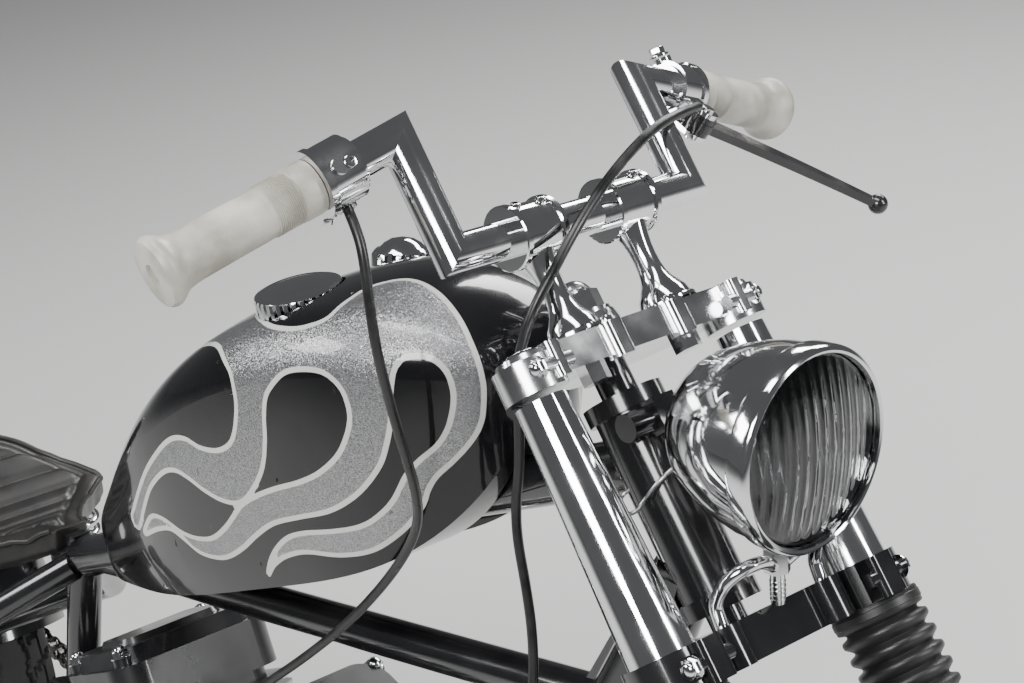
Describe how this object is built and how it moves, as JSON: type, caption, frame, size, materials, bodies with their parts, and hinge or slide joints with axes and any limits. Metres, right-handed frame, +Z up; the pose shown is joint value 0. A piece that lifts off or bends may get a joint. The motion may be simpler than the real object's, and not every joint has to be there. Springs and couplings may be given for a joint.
{
  "type": "chopper motorcycle",
  "caption": "Rigid-framed V-twin chopper with raked fork, mitred Z-bars, flamed teardrop tank, spoked wheels and sprung solo seat, parked on its side stand.",
  "frame": {"origin": "on the ground under the middle of the parked motorcycle's bounding box", "axes": "+X forward, +Y to the rider's left, +Z up; the machine leans to its left on its side stand"},
  "size_m": [2.2738, 0.6764, 1.1121],
  "materials": {
    "black_frame": "gloss black paint",
    "gloss_black": "gloss black paint",
    "flame_paint": "gloss black with silver metal-flake flames and pale outlines under lacquer",
    "cast_aluminium": "sand cast, satin",
    "engine_black": "satin black enamel, with bare fin edges",
    "polished_alloy": "polished",
    "chrome_bright": "polished chrome",
    "chrome_exhaust": "chrome",
    "chrome_wheel": "chrome",
    "seat_leather": "black leather",
    "lamp_red": "red lens in a chrome cup",
    "lamp_glass": "fluted glass",
    "chain_steel": "oiled steel",
    "zinc_steel": "zinc plated",
    "tyre_rubber": "black rubber",
    "gaiter_rubber": "black moulded rubber",
    "grip_ivory": "off-white moulded rubber, satin",
    "black_lever": "black enamel",
    "cable_black": "black sheath"
  },
  "bodies": {
    "chassis": {"frame": "black_frame", "crankcase": "cast_aluminium", "front_cylinder": "engine_black", "rear_cylinder": "engine_black", "pushrod_tubes": "chrome_bright", "carburettor": "cast_aluminium", "air_cleaner": "chrome_bright", "exhaust_pipes": "chrome_exhaust", "primary_cover": "polished_alloy", "gearbox": "cast_aluminium", "oil_tank": "gloss_black", "fuel_tank": "flame_paint", "fuel_caps": "chrome_bright", "seat": "seat_leather", "seat_springs": "chrome_bright", "rear_fender": "gloss_black", "tail_lamp": "lamp_red", "foot_controls": "chrome_bright", "drive_chain": "chain_steel", "rear_axle": "zinc_steel", "clutch_cable_lower": "cable_black", "throttle_cable_lower": "cable_black"},
    "fork": {"top_yoke": "polished_alloy", "lower_yoke": "black_frame", "fork_covers": "chrome_bright", "fork_gaiters": "gaiter_rubber", "fork_sliders": "polished_alloy", "risers": "chrome_bright", "handlebar": "chrome_bright", "grips": "grip_ivory", "bar_controls": "chrome_bright", "clutch_lever": "black_lever", "clutch_cable_upper": "cable_black", "throttle_cable_upper": "cable_black", "headlamp_shell": "chrome_bright", "headlamp_lens": "lamp_glass", "headlamp_bracket": "chrome_bright", "front_axle": "zinc_steel"},
    "front_wheel": {"front_tyre": "tyre_rubber", "front_wheel": "chrome_wheel"},
    "rear_wheel": {"rear_tyre": "tyre_rubber", "rear_wheel": "chrome_wheel", "rear_sprocket": "chain_steel", "brake_drum": "black_frame"},
    "side_stand": {"side_stand": "chrome_bright"}
  },
  "joints": [
    {"name": "steering", "type": "hinge", "parent": "chassis", "child": "fork", "pos_m": [0.33479, 0.03343, 0.92671], "axis": [-0.5736, 0.1422, 0.8067], "range_deg": [-32, 32]},
    {"name": "front_wheel_spin", "type": "hinge", "parent": "fork", "child": "front_wheel", "pos_m": [0.791, -0.06972, 0.34173], "axis": [0, 0.9848, -0.1736], "continuous": true},
    {"name": "rear_wheel_spin", "type": "hinge", "parent": "chassis", "child": "rear_wheel", "pos_m": [-0.809, -0.07284, 0.324], "axis": [0, 0.9848, -0.1736], "continuous": true},
    {"name": "side_stand_fold", "type": "hinge", "parent": "chassis", "child": "side_stand", "pos_m": [-0.169, 0.00985, 0.11345], "axis": [0.0478, 0.6232, 0.7806], "range_deg": [0, 104]}
  ]
}
